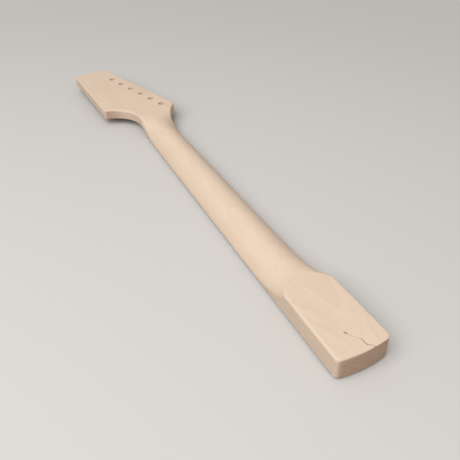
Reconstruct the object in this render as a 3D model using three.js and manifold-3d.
// Bolt-on electric guitar neck: maple neck wood, maple fingerboard, frets, nut, position dots and truss rod.
// Millimetres. +X runs towards the heel, +Y is the side with the tuner holes, +Z is the neck's back.
// The origin is on the centreline of the heel's flat back, where the body's neck plate bears.

import * as THREE from "three";
import { mergeVertices } from "three/addons/utils/BufferGeometryUtils.js";
import Module from "manifold-3d";

const wasm = await Module();
wasm.setup();

// Neck and fingerboard
const scaleLength = 647.7; // nut's front face to the bridge saddles
const fretCount = 21;
const fretsInOctave = 12;
const heelPastLastFret = 6.9; // last fret to the heel's two corners
const seatToEnd = 40; // the origin to the heel's two corners
const nutEndWidth = 42.5;
const heelWidth = 56.9;
const heelWood = 19; // maple between the board and the heel's back
const boardThickness = 6;
const boardRadius = 305;
const thicknessAtNut = 21.1; // shaft and board together
const thicknessAtOctave = 23.2;
const profileMargin = 0.6; // leaves a narrow upright land at the board's edge
const profilePower = 0.7; // 0.5 is a half ellipse, more slims the shoulders

// Heel
const endSag = 2.7; // how far the heel's end bulges past its corners
const heelCorner = 5.5;
const heelEdge = 1.5; // rolled edge of the heel's back
const padLength = 84; // flat back, measured along its edges from the heel's corners
const padCrown = 16.5; // how much further it reaches on the centreline
const padCrownPower = 2.6;
const padRun = 120; // length in which the pad sinks into the shaft
const padFastRun = 40; // its steep end, which has rings closer together
const padFallPower = 5; // above 1 the fall is steepest at the pad

// Headstock: lengths past the nut's front face, reaches from the centreline
const headThickness = 14.4;
const headStep = 3.2; // headstock's back below the heel's back
const headEdge = 2.4; // rolled edge of the headstock
const rampRadius = 18; // hollow between the board's end and the headstock's front
const cutawayStart = 28;
const cutawayBend = 63.3;
const cornerLength = 76;
const cornerReach = 60.3;
const tipReach = 65.7;
const tipSlant = 3.2;
const flareBend = 28;
const flareSpread = 0.5; // how far the tuner side's flare starts outside the neck's edge
const flareAngle = THREE.MathUtils.degToRad(39.8);
const shoulderRound = 6.5;
const headBlendLength = 20; // before the nut, where the shaft starts to turn into the headstock
const headBlendPastNut = 40; // where the back is flat

// Tuner holes
const tunerCount = 6;
const tunerPitch = 25.4;
const tunerHoleRadius = 4.4;
const firstTunerLength = 55;
const firstTunerReach = 21.8;
const tunerRowAngle = THREE.MathUtils.degToRad(16.9);
const tunerEdgeAngle = THREE.MathUtils.degToRad(17.6);
const tunerEdgeInset = 15.4; // first hole's centre to the headstock's edge
const shoulderSetback = 7.1; // shoulder to the first hole, along the neck
const tipMargin = 45; // last hole to the tip, along the neck

// Nut
const nutThickness = 3.3;
const nutSlotDepth = 3;
const nutRise = 2.4; // nut's top above the board
const nutBackDrop = 0.9; // its top slopes down towards the headstock
const nutEndInset = 0.1;
const nutEndSlope = Math.tan(THREE.MathUtils.degToRad(24));
const stubLength = 5.2; // board behind the nut
const stringCount = 6;
const stringSpread = 35.2; // outer strings, centre to centre
const stringSlotDepth = 1.1;
const thickStringSlot = 1.3;
const thinStringSlot = 0.5;

// Frets
const crownWidth = 2.4;
const crownHeight = 1.1;
const tangWidth = 0.5;
const tangDepth = 1.6;
const fretSlotDepth = 2.1;
const fretEndSlope = Math.tan(THREE.MathUtils.degToRad(32));

// Position dots
const dottedFrets = [3, 5, 7, 9, 12, 15, 17, 19, 21];
const dotRadius = 3.175;
const dotDepth = 2;
const octaveDotSpread = 24;
const sideDotRadius = 1;
const sideDotDepth = 3;
const octaveSideDotSpread = 6;
const sideDotShare = 0.57; // place in the board's thickness, from the glue line

// Truss rod
const rodRadius = 2.5;
const barThickness = 3;
const barWidth = 6;
const blockLength = 12;
const rodToHeel = 36; // rod's end to the heel's corners
const adjusterRadius = 4;
const adjusterLength = 14;
const adjusterPastBoard = 10.5; // adjuster's tip past the board's nut end
const hexKeySize = 5; // across flats
const hexDepth = 7;
const rodSeatDepth = 5; // rod's end inside the adjuster
const accessLength = 22; // open trough past the adjuster's tip

// Fits
const fitGap = 0.3; // between a round piece and what it sits in
const seatGap = 0.05; // between two flat faces
const overrun = 2; // how far a cut runs past a face
const mergeDistance = 1e-4;

// Rounds, in segments
const holeSides = 20;
const dotSides = 14;
const rodSides = 12;
const hexSides = 6;
const curveSteps = 9;
const curveSamples = 27;
const edgeSteps = 3;
const fretSteps = 5;
const boardSteps = 10;
const profileSteps = 20;
const headBlendSteps = 14;
const shaftSteps = 7;
const padSlowSteps = 5;
const padFastSteps = 13;

// Places along the neck
const fretDistance = (fret) => scaleLength * (1 - 2 ** (-fret / fretsInOctave));
const heelX = seatToEnd;
const nutX = heelX - heelPastLastFret - fretDistance(fretCount);
const fretX = (fret) => nutX + fretDistance(fret);
const octaveX = fretX(fretsInOctave);
const boardEndX = nutX - nutThickness - stubLength;

// Levels through the thickness
const backZ = 0;
const glueZ = backZ - heelWood;
const boardZ = glueZ - boardThickness;
const headBackZ = backZ - headStep;
const headFrontZ = headBackZ - headThickness;
const arcCentreZ = boardZ + boardRadius;
const belowZ = Math.min(boardZ, headFrontZ) - overrun;
const wideReach = tipReach + headThickness;

// Ramp from the board's end up to the headstock's front
const rampRise = headFrontZ - boardZ;
const rampLength = Math.sqrt(rampRadius ** 2 - (rampRadius - rampRise) ** 2);
const rampFootX = boardEndX - rampLength;

// Truss rod, in its channel under the board
const barFrontZ = glueZ + fitGap;
const barBackZ = barFrontZ + barThickness;
const rodZ = barBackZ + fitGap + rodRadius;
const channelZ = rodZ + rodRadius + fitGap;
const blockBackZ = channelZ - fitGap;
const channelHalf = barWidth / 2 + fitGap;
const rodEndX = heelX - rodToHeel;
const adjusterTipX = boardEndX - adjusterPastBoard;
const adjusterTailX = adjusterTipX + adjusterLength;
const headBlockX = adjusterTailX + fitGap;
const heelBlockX = rodEndX - blockLength;
const accessRadius = adjusterRadius + fitGap;
const accessEndX = adjusterTipX - accessLength;

// Half width of the neck at x
function halfWidth(x) {
  const share = Math.max(0, (x - boardEndX) / (heelX - boardEndX));
  return (nutEndWidth + (heelWidth - nutEndWidth) * share) / 2;
}

// Point of the headstock's outline, from its distance past the nut and its reach towards the tuner side
function pastNut(length, reach) {
  return new THREE.Vector2(nutX - length, reach);
}

// Smooth step from 0 to 1 as value goes from start to end
function ease(value, start, end) {
  return THREE.MathUtils.smoothstep((value - start) / (end - start), 0, 1);
}

// Headstock corners, worked out from the row of tuner holes
const edgeReach = (length) => {
  const firstEdge = firstTunerReach + tunerEdgeInset / Math.cos(tunerEdgeAngle);
  return firstEdge - (length - firstTunerLength) * Math.tan(tunerEdgeAngle);
};
const tipLength = firstTunerLength + (tunerCount - 1) * tunerPitch * Math.cos(tunerRowAngle) + tipMargin;
const shoulderLength = firstTunerLength - shoulderSetback;
const boardEndLength = nutX - boardEndX;
const nutHalf = nutEndWidth / 2;
const cutaway = new THREE.QuadraticBezierCurve(
  pastNut(cutawayStart, -nutHalf),
  pastNut(cutawayBend, -nutHalf),
  pastNut(cornerLength, -cornerReach),
);
const shoulder = pastNut(shoulderLength, edgeReach(shoulderLength));
const shoulderStart = pastNut(
  shoulderLength + shoulderRound * Math.cos(tunerEdgeAngle),
  edgeReach(shoulderLength + shoulderRound * Math.cos(tunerEdgeAngle)),
);
const flareEnd = new THREE.Vector2(
  shoulder.x + shoulderRound * Math.cos(flareAngle),
  shoulder.y - shoulderRound * Math.sin(flareAngle),
);
const flare = new THREE.QuadraticBezierCurve(
  flareEnd,
  pastNut(flareBend, nutHalf + flareSpread),
  pastNut(boardEndLength, nutHalf),
);

// Whole outline of the neck, seen from its back
function neckOutline() {
  const outline = new THREE.Shape();
  const endX = (y) => heelX + endSag * (1 - (y / halfWidth(heelX)) ** 2);
  const cornerY = halfWidth(heelX) - heelCorner;
  const cornerX = heelX - heelCorner;
  const tip = pastNut(tipLength, edgeReach(tipLength));
  const lowTip = pastNut(tipLength - tipSlant, -tipReach);
  outline.moveTo(boardEndX, -nutHalf);
  outline.lineTo(cornerX, -halfWidth(cornerX));
  outline.quadraticCurveTo(heelX, -halfWidth(heelX), endX(cornerY), -cornerY);
  outline.quadraticCurveTo(2 * endX(0) - endX(cornerY), 0, endX(cornerY), cornerY);
  outline.quadraticCurveTo(heelX, halfWidth(heelX), cornerX, halfWidth(cornerX));
  outline.lineTo(boardEndX, nutHalf);
  outline.quadraticCurveTo(flare.v1.x, flare.v1.y, flareEnd.x, flareEnd.y);
  outline.quadraticCurveTo(shoulder.x, shoulder.y, shoulderStart.x, shoulderStart.y);
  outline.lineTo(tip.x, tip.y);
  outline.lineTo(lowTip.x, lowTip.y);
  outline.lineTo(cutaway.v2.x, cutaway.v2.y);
  outline.quadraticCurveTo(cutaway.v1.x, cutaway.v1.y, cutaway.v0.x, cutaway.v0.y);
  return outline;
}

// Closed mesh as a solid that can be joined and cut
function solid(geometry) {
  const bare = geometry.clone();
  bare.deleteAttribute("normal");
  bare.deleteAttribute("uv");
  const merged = mergeVertices(bare, mergeDistance);
  const vertProperties = new Float32Array(merged.attributes.position.array);
  const triVerts = new Uint32Array(merged.index.array);
  return new wasm.Manifold(new wasm.Mesh({ numProp: 3, vertProperties, triVerts }));
}

// Solid as a geometry
function geometryOf(body) {
  const { vertProperties, triVerts } = body.getMesh();
  const geometry = new THREE.BufferGeometry();
  geometry.setAttribute("position", new THREE.BufferAttribute(vertProperties, 3));
  geometry.setIndex(new THREE.BufferAttribute(triVerts, 1));
  geometry.computeVertexNormals();
  return geometry;
}

// Geometry of a closed grid of rings: every ring is a list of points in order, and both ends are capped
function ringGeometry(rings) {
  const ringSize = rings[0].length;
  const capTriangles = THREE.ShapeUtils.triangulateShape(rings[0].map((point) => point.flat), []);
  const index = [];
  for (let ring = 0; ring + 1 < rings.length; ring += 1) {
    for (let i = 0; i < ringSize; i += 1) {
      const a = ring * ringSize + i;
      const b = ring * ringSize + ((i + 1) % ringSize);
      index.push(a, b, b + ringSize, a, b + ringSize, a + ringSize);
    }
  }
  const last = (rings.length - 1) * ringSize;
  capTriangles.forEach(([a, b, c]) => index.push(a, c, b, last + a, last + b, last + c));
  const geometry = new THREE.BufferGeometry();
  geometry.setFromPoints(rings.flat().map((point) => point.place));
  geometry.setIndex(index);
  geometry.computeVertexNormals();
  return geometry;
}

// Point of the unit circle at a share of its round. It stands in for a corner of a section with flat sides.
function onUnitCircle(share) {
  const angle = 2 * Math.PI * share;
  return new THREE.Vector2(Math.cos(angle), Math.sin(angle));
}

// Box between two corners
function box(low, high) {
  const size = new THREE.Vector3(...high).sub(new THREE.Vector3(...low));
  const middle = new THREE.Vector3(...high).add(new THREE.Vector3(...low)).multiplyScalar(0.5);
  return new THREE.BoxGeometry(size.x, size.y, size.z).translate(middle.x, middle.y, middle.z);
}

// Cylinder along the neck
function cylinderAlongNeck(radius, fromX, toX, z, sides) {
  const bar = new THREE.CylinderGeometry(radius, radius, toX - fromX, sides).rotateZ(-Math.PI / 2);
  return bar.translate((fromX + toX) / 2, 0, z);
}

// Shape drawn in (y, z), drawn out along the neck
function alongNeck(shape, fromX, toX) {
  const turn = new THREE.Matrix4().makeBasis(
    new THREE.Vector3(0, 1, 0),
    new THREE.Vector3(0, 0, 1),
    new THREE.Vector3(1, 0, 0),
  );
  const drawn = new THREE.ExtrudeGeometry(shape, { depth: toX - fromX, bevelEnabled: false });
  return drawn.applyMatrix4(turn).translate(fromX, 0, 0);
}

// Slab with the neck's outline and a rolled edge
function outlineSlab(backLevel, frontLevel, edge) {
  const slab = new THREE.ExtrudeGeometry(neckOutline(), {
    depth: backLevel - frontLevel - 2 * edge,
    bevelEnabled: true,
    bevelThickness: edge,
    bevelSize: edge,
    bevelOffset: -edge,
    bevelSegments: edgeSteps,
    curveSegments: curveSteps,
  });
  return slab.translate(0, 0, frontLevel + edge);
}

// Section swept across the board along its radius. Section points are (along the neck, above the board).
// The ends lean in by endSlope for each millimetre above the board.
function acrossBoard(section, halfSpan, endSlope, steps) {
  const rings = [];
  for (let step = 0; step <= steps; step += 1) {
    const share = (2 * step) / steps - 1;
    rings.push(section.map(([along, above]) => {
      const y = share * (halfSpan - Math.max(above, 0) * endSlope);
      const z = arcCentreZ - Math.sqrt((boardRadius + above) ** 2 - y ** 2);
      return { flat: new THREE.Vector2(along, above), place: new THREE.Vector3(along, y, z) };
    }));
  }
  return ringGeometry(rings);
}

// Level of the board's played face at y
function boardFaceZ(y) {
  return arcCentreZ - Math.sqrt(boardRadius ** 2 - y ** 2);
}

// Reach of an outline curve at x, and a wide reach past the curve's end
function reachOn(curve, x) {
  const points = curve.getPoints(curveSamples).sort((a, b) => a.x - b.x);
  if (x < points[0].x) return wideReach - profileMargin;
  const after = points.findIndex((point) => point.x >= x);
  if (after < 1) return nutHalf;
  const share = (x - points[after - 1].x) / (points[after].x - points[after - 1].x);
  return Math.abs(THREE.MathUtils.lerp(points[after - 1].y, points[after].y, share));
}

// Half width that the shaft's rounding follows at x on one side, 1 for the tuner side and -1 for the other
function profileHalf(x, side) {
  if (x >= boardEndX) return halfWidth(x) + profileMargin;
  return reachOn(side > 0 ? flare : cutaway, x) + profileMargin;
}

// Level of the hand-shaped back. across runs from -1 to 1 between the profile's edges.
function carvedZ(x, across) {
  const thickness = THREE.MathUtils.mapLinear(x, nutX, octaveX, thicknessAtNut, thicknessAtOctave);
  const roundness = Math.max(0, 1 - across ** 2) ** profilePower;
  const shaftZ = boardZ + thickness * roundness;
  const padEdgeX = heelX - padLength - padCrown * Math.max(0, 1 - Math.abs(across) ** padCrownPower);
  const runShare = THREE.MathUtils.clamp((x - padEdgeX + padRun) / padRun, 0, 1);
  const heelShare = runShare ** padFallPower;
  const headShare = ease(x, nutX + headBlendLength, nutX - headBlendPastNut);
  const nearHead = THREE.MathUtils.lerp(shaftZ, headBackZ + fitGap, headShare);
  return THREE.MathUtils.lerp(nearHead, backZ + fitGap, heelShare);
}

// Evenly spaced places from start to end
function spaced(start, end, count) {
  return Array.from({ length: count }, (_, i) => THREE.MathUtils.lerp(start, end, i / count));
}

// Everything in front of the hand-shaped back
function carveBody() {
  const blendStartX = nutX + headBlendLength;
  const padEndX = heelX - padLength;
  const runStartX = padEndX - padCrown - padRun;
  const fastStartX = padEndX - padCrown - padFastRun;
  const stations = [
    nutX - tipLength - overrun,
    nutX - shoulderLength,
    ...spaced(flareEnd.x, blendStartX, headBlendSteps),
    ...spaced(blendStartX, runStartX, shaftSteps),
    ...spaced(runStartX, fastStartX, padSlowSteps),
    ...spaced(fastStartX, padEndX, padFastSteps),
    padEndX,
    heelX + endSag + overrun,
  ];
  const rings = stations.map((x) => {
    const places = [
      new THREE.Vector3(x, -wideReach, belowZ - overrun),
      new THREE.Vector3(x, -wideReach, carvedZ(x, -1)),
    ];
    for (let step = 0; step <= profileSteps; step += 1) {
      const across = Math.sin(Math.PI * (step / profileSteps - 1 / 2));
      places.push(new THREE.Vector3(x, across * profileHalf(x, across), carvedZ(x, across)));
    }
    places.push(new THREE.Vector3(x, wideReach, carvedZ(x, 1)));
    places.push(new THREE.Vector3(x, wideReach, belowZ - overrun));
    return places.reverse().map((place, i) => ({ flat: onUnitCircle(i / places.length), place }));
  });
  return solid(ringGeometry(rings));
}

// Everything in front of the headstock, its ramp hollow included
function rampCutter() {
  const profile = new THREE.Shape();
  const steps = curveSteps;
  profile.moveTo(nutX - tipLength - overrun, headFrontZ);
  for (let step = 0; step <= steps; step += 1) {
    const along = rampLength * (step / steps);
    const z = headFrontZ - rampRadius + Math.sqrt(rampRadius ** 2 - along ** 2);
    profile.lineTo(rampFootX + along, z);
  }
  profile.lineTo(boardEndX, belowZ - overrun);
  profile.lineTo(nutX - tipLength - overrun, belowZ - overrun);
  const width = 2 * (tipReach + overrun);
  const cutter = new THREE.ExtrudeGeometry(profile, { depth: width, bevelEnabled: false });
  return solid(cutter.translate(0, 0, -width / 2).rotateX(Math.PI / 2));
}

// Centre of each tuner hole, from the nut towards the tip
function tunerPlaces() {
  return Array.from({ length: tunerCount }, (_, i) => {
    const length = firstTunerLength + i * tunerPitch * Math.cos(tunerRowAngle);
    return pastNut(length, firstTunerReach - i * tunerPitch * Math.sin(tunerRowAngle));
  });
}

// Room for the truss rod, from the heel block to the open trough in the headstock's face
function rodChannel() {
  const channelStart = [headBlockX - fitGap, -channelHalf, glueZ - overrun];
  const channelEnd = [rodEndX + fitGap, channelHalf, channelZ];
  const trough = new THREE.Shape();
  trough.moveTo(-accessRadius, belowZ - overrun);
  trough.lineTo(accessRadius, belowZ - overrun);
  trough.absarc(0, rodZ, accessRadius, 0, Math.PI, false);
  return solid(box(channelStart, channelEnd)).add(solid(alongNeck(trough, accessEndX, headBlockX)));
}

// Neck wood: heel, shaft and headstock in one piece
function neckGeometry(carve, ramp) {
  const heelSlab = solid(outlineSlab(backZ, glueZ - 2 * heelEdge, heelEdge));
  const aboveGlue = solid(box(
    [rampFootX, -heelWidth, glueZ],
    [heelX + endSag + overrun, heelWidth, backZ + overrun],
  ));
  const headSlab = solid(outlineSlab(headBackZ, headFrontZ, headEdge));
  const pastRamp = solid(box(
    [nutX - tipLength - overrun, -tipReach - overrun, belowZ],
    [rampFootX + seatGap, tipReach + overrun, backZ],
  ));
  let body = heelSlab.intersect(aboveGlue).add(headSlab.intersect(pastRamp));
  body = body.intersect(carve).subtract(ramp).subtract(rodChannel());
  const drillLength = headThickness + 2 * overrun;
  for (const { x, y } of tunerPlaces()) {
    const drill = new THREE.CylinderGeometry(tunerHoleRadius, tunerHoleRadius, drillLength, holeSides);
    drill.rotateX(Math.PI / 2).translate(x, y, (headBackZ + headFrontZ) / 2);
    body = body.subtract(solid(drill));
  }
  return geometryOf(body);
}

// Square slot across the board
function slotAcross(middleX, width, depth) {
  const half = width / 2;
  const section = [[-half, -depth], [half, -depth], [half, overrun], [-half, overrun]];
  const cutter = acrossBoard(section, heelWidth / 2 + overrun, 0, fretSteps);
  return solid(cutter.translate(middleX, 0, 0));
}

// Places of the position dots: fret, x, y and a name's ending
function dotPlaces(spread) {
  return dottedFrets.flatMap((fret) => {
    const x = (fretX(fret - 1) + fretX(fret)) / 2;
    const label = String(fret).padStart(2, "0");
    if (fret !== fretsInOctave) return [{ x, offset: 0, label }];
    return [
      { x, offset: spread / 2, label: `${label}_bass` },
      { x, offset: -spread / 2, label: `${label}_treble` },
    ];
  });
}

// Round plug whose outer end lies at the origin and whose body runs towards -Z
function plug(radius, depth, sides) {
  const pin = new THREE.CylinderGeometry(radius, radius, depth, sides).rotateX(Math.PI / 2);
  return pin.translate(0, 0, -depth / 2);
}

// Face dots look out of the played face, side dots out of the board's tuner side
const sideDotZ = glueZ - boardThickness * sideDotShare;
const faceDots = dotPlaces(octaveDotSpread).map(({ x, offset, label }) => ({
  name: `face_dot_${label}`,
  position: new THREE.Vector3(x, offset, boardFaceZ(Math.abs(offset)) + seatGap),
  turn: new THREE.Euler(Math.PI, 0, 0),
  radius: dotRadius,
  depth: dotDepth,
}));
const sideDots = dotPlaces(octaveSideDotSpread).map(({ x, offset, label }) => ({
  name: `side_dot_${label}`,
  position: new THREE.Vector3(x + offset, halfWidth(x + offset) - seatGap, sideDotZ),
  turn: new THREE.Euler(-Math.PI / 2, 0, 0),
  radius: sideDotRadius,
  depth: sideDotDepth,
}));

// Pocket that a dot sits in
function dotPocket({ position, turn, radius, depth }) {
  const pocket = plug(radius + fitGap, depth + fitGap + overrun, dotSides).translate(0, 0, overrun);
  const place = new THREE.Matrix4().makeRotationFromEuler(turn).setPosition(position);
  return solid(pocket.applyMatrix4(place));
}

// Fingerboard with its radius, slots and dot pockets
function boardGeometry(carve, ramp) {
  const plan = new THREE.ExtrudeGeometry(neckOutline(), {
    depth: glueZ - belowZ,
    bevelEnabled: false,
    curveSegments: curveSteps,
  });
  const face = new THREE.Shape();
  const half = heelWidth / 2 + overrun;
  face.moveTo(half, glueZ);
  face.lineTo(-half, glueZ);
  for (let step = 0; step <= boardSteps; step += 1) {
    const y = half * ((2 * step) / boardSteps - 1);
    face.lineTo(y, boardFaceZ(y));
  }
  let body = solid(plan.translate(0, 0, belowZ));
  body = body.intersect(solid(alongNeck(face, rampFootX + seatGap, heelX + endSag + overrun)));
  body = body.intersect(carve).subtract(ramp);
  const nutSlotWidth = nutThickness + 2 * seatGap;
  body = body.subtract(slotAcross(nutX - nutThickness / 2, nutSlotWidth, nutSlotDepth + seatGap));
  for (let fret = 1; fret <= fretCount; fret += 1) {
    body = body.subtract(slotAcross(fretX(fret), tangWidth + 2 * seatGap, fretSlotDepth));
  }
  for (const dot of [...faceDots, ...sideDots]) body = body.subtract(dotPocket(dot));
  return geometryOf(body);
}

// Nut with its string slots
function nutGeometry() {
  const half = nutThickness / 2;
  const section = [
    [-half, -nutSlotDepth],
    [half, -nutSlotDepth],
    [half, nutRise],
    [-half, nutRise - nutBackDrop],
  ];
  let body = solid(acrossBoard(section, halfWidth(nutX) - nutEndInset, nutEndSlope, fretSteps));
  for (let string = 0; string < stringCount; string += 1) {
    const share = string / (stringCount - 1);
    const y = stringSpread * (1 / 2 - share);
    const width = THREE.MathUtils.lerp(thickStringSlot, thinStringSlot, share);
    const floorZ = boardFaceZ(Math.abs(y)) - nutRise + stringSlotDepth;
    const low = [-nutThickness, y - width / 2, floorZ - nutRise - overrun];
    body = body.subtract(solid(box(low, [nutThickness, y + width / 2, floorZ])));
  }
  return geometryOf(body);
}

// Fret wire: crown on the board, tang in its slot
function fretGeometry(fret) {
  const half = crownWidth / 2;
  const tang = tangWidth / 2;
  const crownShares = [[1, 0], [0.86, 0.45], [0.5, 0.86], [0, 1], [-0.5, 0.86], [-0.86, 0.45], [-1, 0]];
  const crown = crownShares.map(([across, up]) => [across * half, seatGap + up * crownHeight]);
  const section = [[-tang, seatGap], [-tang, -tangDepth], [tang, -tangDepth], [tang, seatGap], ...crown];
  return acrossBoard(section, halfWidth(fretX(fret)), fretEndSlope, fretSteps);
}

// Adjuster: hexagonal key socket at the tip, seat for the rod behind it
function adjusterGeometry() {
  const barrel = solid(cylinderAlongNeck(adjusterRadius, 0, adjusterLength, 0, holeSides));
  const hexRadius = hexKeySize / Math.sqrt(3);
  const socket = solid(cylinderAlongNeck(hexRadius, -overrun, hexDepth, 0, hexSides));
  const seat = solid(cylinderAlongNeck(
    rodRadius + fitGap,
    adjusterLength - rodSeatDepth,
    adjusterLength + overrun,
    0,
    rodSides,
  ));
  return geometryOf(barrel.subtract(socket).subtract(seat));
}

// End block of the truss rod, bored for the threaded rod
function rodBlockGeometry() {
  const low = [0, -barWidth / 2, barFrontZ - rodZ];
  const block = solid(box(low, [blockLength, barWidth / 2, blockBackZ - rodZ]));
  const bore = solid(cylinderAlongNeck(rodRadius + fitGap, -overrun, blockLength + overrun, 0, rodSides));
  return geometryOf(block.subtract(bore));
}

// Materials
const maple = () => new THREE.MeshStandardMaterial({ color: 0xe6cbb4, roughness: 0.62, metalness: 0 });
const boardMaple = () => new THREE.MeshStandardMaterial({ color: 0xe2c5aa, roughness: 0.55, metalness: 0 });
const bone = () => new THREE.MeshStandardMaterial({ color: 0xece3cf, roughness: 0.4, metalness: 0 });
const nickelSilver = () => new THREE.MeshStandardMaterial({ color: 0xb9b6ae, roughness: 0.28, metalness: 1 });
const blackInlay = () => new THREE.MeshStandardMaterial({ color: 0x191817, roughness: 0.45, metalness: 0 });
const steel = () => new THREE.MeshStandardMaterial({ color: 0x8d9093, roughness: 0.4, metalness: 1 });
const brass = () => new THREE.MeshStandardMaterial({ color: 0xb08d4c, roughness: 0.38, metalness: 1 });

// Named mesh, placed in its group
function place(group, name, geometry, material, position = new THREE.Vector3(), turn = new THREE.Euler()) {
  const mesh = new THREE.Mesh(geometry, material);
  mesh.name = name;
  mesh.position.copy(position);
  mesh.rotation.copy(turn);
  group.add(mesh);
}

const neck = new THREE.Group();
const carve = carveBody();
const ramp = rampCutter();
place(neck, "neck_wood", neckGeometry(carve, ramp), maple());
place(neck, "fingerboard", boardGeometry(carve, ramp), boardMaple());
place(neck, "nut", nutGeometry(), bone(), new THREE.Vector3(nutX - nutThickness / 2, 0, 0));

for (let fret = 1; fret <= fretCount; fret += 1) {
  const name = `fret_${String(fret).padStart(2, "0")}`;
  place(neck, name, fretGeometry(fret), nickelSilver(), new THREE.Vector3(fretX(fret), 0, 0));
}

for (const { name, position, turn, radius, depth } of [...faceDots, ...sideDots]) {
  place(neck, name, plug(radius, depth, dotSides), blackInlay(), position, turn);
}

// The truss rod's pieces lie on the rod's axis
const trussRod = new THREE.Group();
trussRod.position.z = rodZ;
neck.add(trussRod);
const barLength = heelBlockX - headBlockX - blockLength - 2 * seatGap;
const bar = box([0, -barWidth / 2, barFrontZ - rodZ], [barLength, barWidth / 2, barBackZ - rodZ]);
const rodStartX = adjusterTailX - rodSeatDepth + seatGap;
const rod = cylinderAlongNeck(rodRadius, 0, rodEndX - rodStartX, 0, rodSides);
place(trussRod, "truss_rod_head_block", rodBlockGeometry(), brass(), new THREE.Vector3(headBlockX, 0, 0));
place(trussRod, "truss_rod_heel_block", rodBlockGeometry(), brass(), new THREE.Vector3(heelBlockX, 0, 0));
place(trussRod, "truss_rod_bar", bar, steel(), new THREE.Vector3(headBlockX + blockLength + seatGap, 0, 0));
place(trussRod, "truss_rod_threaded", rod, steel(), new THREE.Vector3(rodStartX, 0, 0));
place(trussRod, "truss_rod_adjuster", adjusterGeometry(), brass(), new THREE.Vector3(adjusterTipX, 0, 0));

export default neck;
